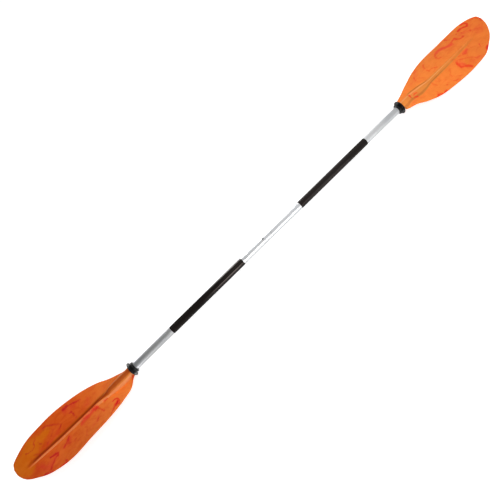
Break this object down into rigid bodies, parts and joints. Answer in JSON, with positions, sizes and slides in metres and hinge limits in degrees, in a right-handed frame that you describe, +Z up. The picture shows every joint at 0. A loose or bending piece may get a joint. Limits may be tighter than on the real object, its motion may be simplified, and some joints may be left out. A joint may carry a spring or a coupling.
{
  "type": "double-bladed kayak paddle",
  "caption": "Take-apart kayak paddle: alloy shaft in two halves with a push-button joint, grip sleeves, drip rings and curved moulded blades.",
  "frame": {"origin": "on the surface that the drip rings rest on, under the shaft's axis, halfway between the blades' tips", "axes": "+X along the shaft towards the blade that shows its back, +Z up, +Y towards the blades' longer edges"},
  "size_m": [2.3236, 0.1849, 0.0527],
  "materials": {
    "blade_plastic": "orange with red and ochre marbling, satin",
    "alloy": "satin anodised",
    "steel": "satin",
    "sleeve": "black, finely textured",
    "rubber": "black, matt",
    "foam": "grey closed-cell foam",
    "nylon": "black"
  },
  "bodies": {
    "right_half": {"right_blade": "blade_plastic", "right_shaft_tube": "alloy", "right_grip_sleeve": "sleeve", "right_joint_plug": "foam", "right_end_plug": "foam", "ferrule_sleeve": "alloy", "ferrule_rivet": "steel", "ferrule_plug": "nylon", "button_spring": "steel"},
    "left_half": {"left_blade": "blade_plastic", "left_shaft_tube": "alloy", "left_grip_sleeve": "sleeve", "left_joint_plug": "foam", "left_end_plug": "foam"},
    "button": {"snap_button": "steel"},
    "left_ring": {"left_drip_ring": "rubber"},
    "right_ring": {"right_drip_ring": "rubber"}
  },
  "joints": [
    {"name": "feather", "type": "hinge", "parent": "right_half", "child": "left_half", "pos_m": [0, 0, 0.02637], "axis": [1, 0, 0], "continuous": true, "deforming": ["snap_button"]},
    {"name": "button_press", "type": "slide", "parent": "right_half", "child": "button", "axis": [0, 0, -1], "range_m": [0, 0.0036], "stiffness_N_per_m": 1500, "springref_m": -0.004, "deforming": ["button_spring"]},
    {"name": "left_ring_slide", "type": "slide", "parent": "left_half", "child": "left_ring", "axis": [1, 0, 0], "range_m": [0, 0.162]},
    {"name": "right_ring_slide", "type": "slide", "parent": "right_half", "child": "right_ring", "axis": [-1, 0, 0], "range_m": [0, 0.162]}
  ]
}
